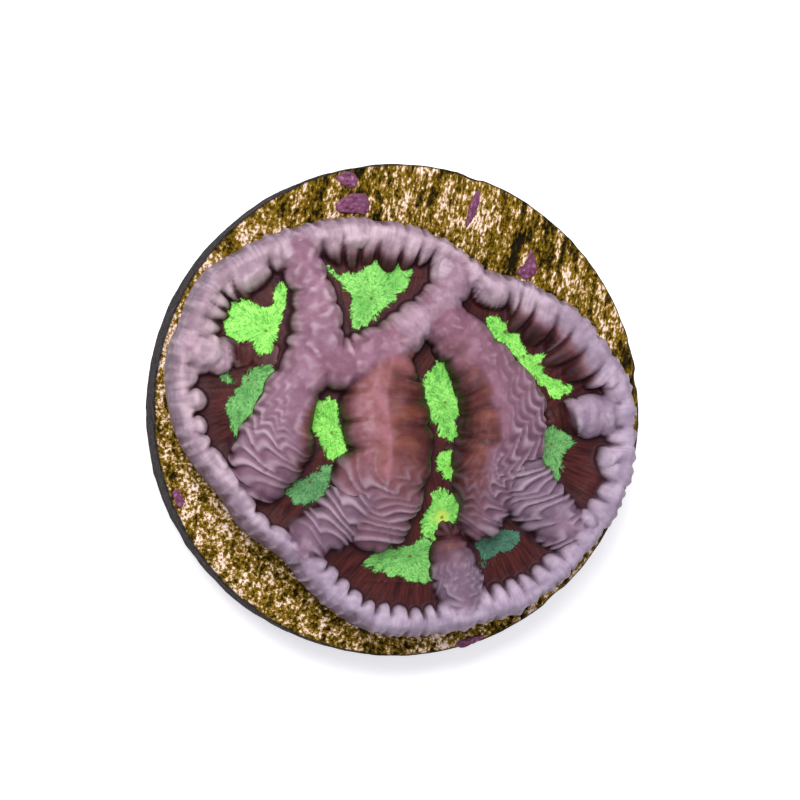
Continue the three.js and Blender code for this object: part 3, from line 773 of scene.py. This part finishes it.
def tissueMaterial():
    t = tissue
    n = Nodes("coralTissue")
    place = n.place()
    rise, rim, warm, rose = (n.mask(k) for k in ("rise", "rimness", "warm", "rose"))
    fine, broad, lip = n.mask("fine"), n.mask("broad"), n.mask("lip")
    along, across, outside = n.mask("along"), n.mask("across"), n.mask("outside")
    grain = n.noise(place, 1.6, 4, 0.6)
    patchy = n.noise(place, 0.45, 3, 0.55)
    combed = n.add("CombineXYZ", X=n.times(along, 2.0), Y=n.times(across, 0.3))
    streaks = n.noise(combed.outputs[0], 1.0, 4, 0.62)
    bands = n.add("CombineXYZ", X=n.times(along, 0.9), Y=n.times(across, 0.25))
    bands = n.noise(bands.outputs[0], 0.8, 4, 0.5)

    # crests: mauve, rosy on the middle walls, lavender on the rim
    # crest, dull, rim and outer tones are each a pair of painted shade and painted light, mixed across the
    # colony
    paintedLightSide, scaly = n.mask("paintedLightSide"), n.mask("scaly")
    crest = n.mix(rose, n.pair(paintedLightSide, t["crest"]), shade(*t["crestRose"]))
    dull = n.mix(rose, n.pair(paintedLightSide, t["dull"]), shade(*t["dullRose"]))
    crest = n.mix(n.span(patchy, 0.38, 0.62, 0.0, 0.7), crest, dull)
    crest = n.mix(n.times(scaly, 0.75), crest, dull)
    paleRim, dullRim = n.pair(paintedLightSide, t["paleRim"]), n.pair(paintedLightSide, t["dullRim"])
    rimTone = n.mix(n.span(patchy, 0.35, 0.65, 0.0, 0.8), paleRim, dullRim)
    rimTone = n.mix(n.span(streaks, 0.42, 0.7, 0.0, 0.6), rimTone, dullRim)
    crest = n.mix(rim, crest, rimTone)

    # the rim's outer face: streaked and patchy, darker at its foot, with painted light to the far left and
    # painted shade to the near right
    outer = n.pair(paintedLightSide, t["outer"])
    outer = n.mix(n.span(streaks, 0.4, 0.65, 0.0, 0.6), outer, shade(*t["outerStreak"]))
    outer = n.mix(n.span(patchy, 0.4, 0.6, 0.0, 0.5), outer, shade(*t["outerPatch"]))
    outer = n.mix(n.span(outside, 0.6, 1.0, 0.0, 0.7), outer, shade(*t["outerFoot"]))
    crest = n.mix(n.span(outside, 0.0, 0.7, 0.0, 0.85), crest, outer)

    # flanks that face the middle valleys are brown, in soft bands across
    brown = n.ramp(bands, (0.32, 0.5, 0.68), t["brown"])
    brown = n.mix(n.span(streaks, 0.4, 0.7, 0.0, 0.3), brown, shade(*t["brownStreak"]))
    crest = n.mix(n.times(warm, 0.92), crest, brown)

    # dark slopes down to the floor, streaked along the septa
    slope = n.pair(n.span(streaks, 0.3, 0.72), t["slope"])
    slope = n.mix(n.span(rise, 0.0, 0.3, 0.0, 0.4), slope, shade(*t["slopeFoot"]))
    soft = n.math("MULTIPLY_ADD", n.math("SUBTRACT", grain, 0.5), 0.25, rise)
    low, high = n.math("MULTIPLY_ADD", warm, 0.25, 0.15), n.math("MULTIPLY_ADD", warm, 0.3, 0.67)
    share = n.span(soft, low, high)
    skin = n.mix(share, slope, crest)

    # painted highlights on convex edges and terrace lips, painted shade in creases and hollows
    pale = n.pair(paintedLightSide, t["pale"])
    paintedHighlight = n.times(n.span(fine, 0.0, 0.12, 0.0, 0.42), n.span(warm, 0.0, 0.6, 1.0, 0.25))
    paintedHighlight = n.times(paintedHighlight, n.span(scaly, 0.0, 1.0, 1.0, 0.6))
    skin = n.mix(paintedHighlight, skin, pale)
    # painted shade: creases are darkened by how far they sink below their neighbours
    paintedCreviceShade = n.times(n.span(fine, -0.01, -0.14, 0.0, 0.75), n.span(rim, 0.0, 1.0, 1.0, 0.6))
    skin = n.mix(paintedCreviceShade, skin, shade(*t["paintedCreviceShade"]))
    # painted shade: broad hollows are darkened
    skin = n.mix(n.span(broad, 0.0, -0.3, 0.0, 0.35), skin, shade(*t["paintedHollowShade"]))
    # painted highlight: the terrace lips take the pale highlight tone
    skin = n.mix(n.times(lip, 0.42), skin, pale)

    # fibrous green floors round the mouths
    combing = n.add("Mapping", i0=n.mask("fibre", "Vector"))
    combing.inputs["Scale"].default_value = t["combing"]
    spokes = n.noise(combing.outputs[0], 1.6, 5, 0.7, 0.6)
    tangle = n.noise(place, 2.4, 5, 0.72, 1.4)
    threads = n.math("MULTIPLY_ADD", tangle, 0.55, n.times(spokes, 0.45))
    fringe = n.noise(place, 1.1, 4, 0.65)
    ragged = n.math("MULTIPLY_ADD", n.math("SUBTRACT", spokes, 0.5), 1.2, n.mask("green"))
    ragged = n.math("MULTIPLY_ADD", n.math("SUBTRACT", fringe, 0.5), 1.6, ragged)
    isGreen = n.times(n.span(ragged, -0.1, 0.12), n.span(rise, 0.02, 0.12, 1.0, 0.0))
    # painted light and shade: deeper patches get duller, darker greens, lit ones brighter greens
    fluorescenceAndPaintedLight = n.mask("fluorescenceAndPaintedLight")
    deep = n.pair(fluorescenceAndPaintedLight, t["greenDeep"])
    green = n.mix(n.span(threads, 0.36, 0.58), deep, n.pair(fluorescenceAndPaintedLight, t["greenLit"]))
    green = n.mix(n.span(patchy, 0.4, 0.62, 0.0, 0.35), green, deep)
    green = n.mix(n.times(n.mask("ring"), 0.8), green, shade(*t["ring"]))
    green = n.mix(n.span(n.mask("mouthAway"), 0.08, 0.26, 0.8, 0.0), green, shade(*t["mouth"]))

    n.give("Base Color", n.mix(isGreen, skin, green))
    n.give("Roughness", n.span(grain, 0.3, 0.7, *t["roughness"]))
    n.give("Specular IOR Level", t["specular"])
    relief = n.math("ADD", n.times(grain, 0.6), n.times(threads, isGreen))
    n.give("Normal", n.bump(relief, t["grainDepth"] * mm))
    return n.material


plug = dict(  # lengths in mm
    segments=900, innerRing=15.5, rings=62, sideRings=12, lowBevel=0.5, grooveTurn=math.radians(77),
    grainHeight=0.13, pitDepth=0.28, sideGrain=0.10, chipDepth=0.22, chipDrop=0.35, chipWidth=1.4,
    top=[(14, 10, 3), (62, 48, 4), (104, 80, 6), (134, 106, 20), (184, 148, 96), (238, 208, 192),
         (252, 236, 228)],
    topPlaces=(0.35, 0.42, 0.48, 0.55, 0.585, 0.63, 0.72),
    side=[(14, 11, 11), (34, 28, 28), (66, 54, 52)], sidePlaces=(0.38, 0.5, 0.64),
    pit=(26, 20, 8), specular=0.08, roughness=0.8, grainDepth=0.25,
)


def discRelief(x, y):  # height of the sawn, pitted face, and masks for its colours
    turn = plug["grooveTurn"]
    lengthwise = x * math.cos(turn) + y * math.sin(turn)
    crosswise = -x * math.sin(turn) + y * math.cos(turn)
    sawn = smoothStep(-18, 20, x * 0.75 + y * 0.65)  # the saw lines are strongest far right
    lines = layeredNoise(crosswise, lengthwise / 5, 0.5, 201, 2)
    grains = layeredNoise(crosswise, lengthwise / 1.5, 0.55, 211, 3)
    blotches = layeredNoise(x, y, 4.5, 221, 3)
    relief = grains * (1 - 0.35 * sawn) + lines * (0.25 + 0.75 * sawn)
    pits = smoothStep(0.38, 0.75, -relief + 0.25 * blotches)
    height = plug["grainHeight"] * relief - plug["pitDepth"] * pits
    return height, relief, pits, blotches, sawn


def discPiece(material):
    p = plug
    bm = bmesh.new()
    low, topEdge, middle = p["lowBevel"], discRadius - 0.35, 0.01
    profile = [(middle, 0), (discRadius - low, 0), (discRadius - 0.12, 0.12)]
    profile += [(discRadius, low + (discTop - 0.9) * k / p["sideRings"]) for k in range(p["sideRings"] + 1)]
    profile += [(discRadius - 0.1, discTop - 0.12)]
    profile += [(topEdge - (topEdge - p["innerRing"]) * k / p["rings"], discTop)
                for k in range(p["rings"] + 1)]
    profile += [(middle, discTop)]
    verts = [bm.verts.new((r, 0, z)) for r, z in profile]
    edges = [bm.edges.new(pair) for pair in zip(verts, verts[1:])]
    bmesh.ops.spin(bm, geom=verts + edges, cent=(0, 0, 0), axis=(0, 0, 1), dvec=(0, 0, 0),
                   angle=2 * math.pi, steps=p["segments"], use_merge=True, use_duplicate=False)
    bmesh.ops.remove_doubles(bm, verts=bm.verts, dist=0.02)
    piece = addPiece(bm, "plug_disc", material, "disc")
    mesh = piece.data
    x, y, z = corners(mesh).T
    r, angle = np.hypot(x, y), np.arctan2(y, x)
    onTop = (z > discTop - 0.01) & (r > 1)
    onSide = (z > 0.05) & ~onTop & (r > 1)
    height, relief, pits, blotches, sawn = discRelief(x, y)
    away = np.stack([np.cos(angle), np.sin(angle)], axis=1)
    ragged = layeredNoise(angle * discRadius, z, 1.6, 231, 3)
    chips = smoothStep(0.35, 0.8, layeredNoise(angle * discRadius, 0 * z, 3.1, 241, 3))
    nearEdge = smoothStep(discRadius - p["chipWidth"], discRadius, r)
    rough = np.where(onSide, p["sideGrain"] * (ragged - 1), 0)
    rough -= p["chipDepth"] * chips * nearEdge * (z > discTop - 2)
    x2, y2 = x + away[:, 0] * rough, y + away[:, 1] * rough
    z2 = z + np.where(onTop, (height - 0.05) * smoothStep(p["innerRing"] - 0.2, p["innerRing"] + 1, r), 0)
    z2 -= p["chipDrop"] * chips * nearEdge ** 2 * (z > discTop - 0.2)
    placeCorners(mesh, np.stack([x2, y2, z2], axis=1) * mm)
    side = np.where(onTop, smoothStep(topEdge, discRadius, r), 1)
    for name, values in dict(relief=relief, pits=pits, blotches=blotches, sawn=sawn, side=side).items():
        addMask(mesh, name, values)
    print("disc", len(mesh.polygons), "faces")
    return piece


def discMaterial():
    p = plug
    n = Nodes("plugMineral")
    place = n.place()
    streaky = n.place(p["grooveTurn"], (1.1, 0.5, 1))
    relief, pits, blotches, sawn = (n.mask(k) for k in ("relief", "pits", "blotches", "sawn"))
    even, drawn = n.noise(place, 3.1, 3, 0.62), n.noise(streaky, 2.1, 3, 0.6)
    speck = n.mix(n.span(sawn, 0, 1, 0.15, 0.75), even, drawn)
    speckValue = n.math("ADD", speck, n.times(relief, 0.13))
    cream = n.math("MULTIPLY_ADD", n.math("SUBTRACT", 1.0, sawn), 0.03, n.times(blotches, 0.07))
    speckValue = n.math("ADD", speckValue, cream)
    top = n.ramp(speckValue, p["topPlaces"], p["top"])
    top = n.mix(n.times(pits, 0.85), top, shade(*p["pit"]))
    edge = n.ramp(n.noise(place, 1.7, 5, 0.7), p["sidePlaces"], p["side"])
    n.give("Base Color", n.mix(n.mask("side"), top, edge))
    n.give("Specular IOR Level", p["specular"])
    n.give("Roughness", p["roughness"])
    n.give("Normal", n.bump(speck, p["grainDepth"] * mm))
    return n.material


# crusts of coralline algae

crust = dict(  # lengths in mm
    grid=26, tall=0.34, lift=0.02, sunk=0.25, cobble=0.55, ragged=0.16,
    tones=[(88, 36, 66), (126, 62, 106), (164, 108, 146)], joint=(84, 34, 58), margin=(96, 60, 66),
    roughness=0.7, grainDepth=0.08,
)
crustOutlines = dict(
    crust_far_small=[[-6.3, 23.6], [-4.9, 24], [-4.1, 23.3], [-4.4, 22.4], [-5.6, 22.7]],
    crust_far=[[-6.4, 20.9], [-5.3, 21.6], [-4.6, 22], [-3.3, 21.9], [-2.8, 20.9], [-3.1, 19.9],
               [-4.8, 19.8], [-6.2, 20]],
    crust_streak=[[7, 18.6], [7.2, 20.2], [7.7, 21.6], [8.4, 22.4], [8.3, 21], [7.7, 19.4]],
    crust_right=[[12.3, 14.2], [13.2, 15], [13.6, 16.4], [14, 15.6], [14.3, 14.2], [13.8, 13.5],
                 [13, 13.2]],
    crust_near=[[5.9, -23.7], [7.2, -23.1], [8.8, -22.8], [8.6, -23.2], [7.5, -23.8], [6.5, -24.1]],
    crust_left=[[-23, -8.3], [-22.4, -8], [-21.8, -9], [-22.1, -9.8], [-22.6, -9.4]],
)


def crustPiece(node, outline, material):
    c = crust
    piece = addPiece(closedGrid(c["grid"], 1), node + "_growth", material, node)
    gx, gy, layer = corners(piece.data).T
    r, angle = roundPlace(gx, gy)
    line = smoothLine(outline, True, 12)
    cx, cy = line.mean(0)
    radius = radiusAt(angle, line, cx, cy)
    reach = r * radius * (1 + c["ragged"] * r * layeredNoise(angle * radius + 9 * cx, 0 * r, 0.9, 311))
    x, y = cx + reach * np.cos(angle), cy + reach * np.sin(angle)
    bumps = cobbles(x, y, c["cobble"], 301)
    dome = np.sqrt(np.maximum(0, 1 - r ** 4))
    z = discTop + c["tall"] * (0.45 + 0.55 * bumps) * dome + c["lift"]
    z = np.where(layer < -0.5, discTop - c["sunk"], z)
    placeCorners(piece.data, np.stack([x, y, z], axis=1) * mm)
    addMask(piece.data, "bumps", bumps)
    addMask(piece.data, "out", r)
    return piece


def crustMaterial():
    c = crust
    n = Nodes("algaeCrust")
    mottle = n.noise(n.place(), 1.4, 3, 0.6)
    tone = n.ramp(mottle, (0.3, 0.5, 0.7), c["tones"])
    tone = n.mix(n.span(n.mask("bumps"), 0.5, 0.1, 0.0, 0.6), tone, shade(*c["joint"]))
    tone = n.mix(n.span(n.mask("out"), 0.85, 1.0, 0.0, 0.5), tone, shade(*c["margin"]))
    n.give("Base Color", tone)
    n.give("Roughness", c["roughness"])
    n.give("Normal", n.bump(mottle, c["grainDepth"] * mm))
    return n.material


# floor, light and camera

studio = dict(
    aim=(0.2, 1.01), tilt=math.radians(9.5), distance=600, frameWidth=80.96, sensor=36,
    keyPower=3.4, keySize=0.28, keyPlace=(-0.12, 0.25, 0.55),
    fillPower=0.5, fillSize=0.6, fillPlace=(0.3, -0.3, 0.5), worldStrength=0.55,
    floorHalf=1.5, floorTone=(0.9, 0.9, 0.92, 1), floorRoughness=0.9,
    floorGlow=(0.95, 0.93, 1, 1), floorGlowStrength=0.42,
)


def addFloor():
    s = studio
    bm = bmesh.new()
    bmesh.ops.create_grid(bm, x_segments=1, y_segments=1, size=s["floorHalf"])
    mesh = bpy.data.meshes.new("floor")
    bm.to_mesh(mesh)
    bm.free()
    n = Nodes("paleFloor")
    n.give("Base Color", s["floorTone"])
    n.give("Roughness", s["floorRoughness"])
    n.give("Emission Color", s["floorGlow"])
    n.give("Emission Strength", s["floorGlowStrength"])
    mesh.materials.append(n.material)
    floor = bpy.data.objects.new("floor", mesh)
    bpy.context.scene.collection.objects.link(floor)


def addLamp(name, power, size, place):
    lamp = bpy.data.lights.new(name, "AREA")
    lamp.energy = power
    lamp.size = size
    holder = bpy.data.objects.new(name, lamp)
    holder.location = place
    holder.rotation_euler = (-Vector(place)).to_track_quat("-Z", "Y").to_euler()
    bpy.context.scene.collection.objects.link(holder)


def addCamera():
    s = studio
    lens = bpy.data.cameras.new("camera")
    lens.sensor_width = s["sensor"]
    lens.lens = s["sensor"] * s["distance"] / s["frameWidth"]
    lens.clip_start = 0.01
    holder = bpy.data.objects.new("camera", lens)
    sine, cosine = math.sin(s["tilt"]), math.cos(s["tilt"])
    aim = Vector((s["aim"][0], s["aim"][1], discTop)) * mm
    back = Vector((-sine, 0, cosine))
    turn = Matrix(((cosine, 0, -sine), (0, 1, 0), (sine, 0, cosine)))
    holder.matrix_world = Matrix.Translation(aim + back * s["distance"] * mm) @ turn.to_4x4()
    bpy.context.scene.collection.objects.link(holder)
    bpy.context.scene.camera = holder


def addStudio():
    s = studio
    addFloor()
    addLamp("key", s["keyPower"], s["keySize"], s["keyPlace"])
    addLamp("fill", s["fillPower"], s["fillSize"], s["fillPlace"])
    world = bpy.data.worlds.new("studio")
    world.use_nodes = True
    sky = world.node_tree.nodes["Background"].inputs
    sky["Color"].default_value = (1, 1, 1, 1)
    sky["Strength"].default_value = s["worldStrength"]
    bpy.context.scene.world = world
    bpy.context.scene.view_settings.view_transform = "Standard"
    addCamera()


addStudio()
print("studio is set")
colonyPiece(tissueMaterial())
print("colony is grown")
discPiece(discMaterial())
print("disc is cut")
algae = crustMaterial()
for node, outline in crustOutlines.items():
    crustPiece(node, outline, algae)
print("crusts are grown")
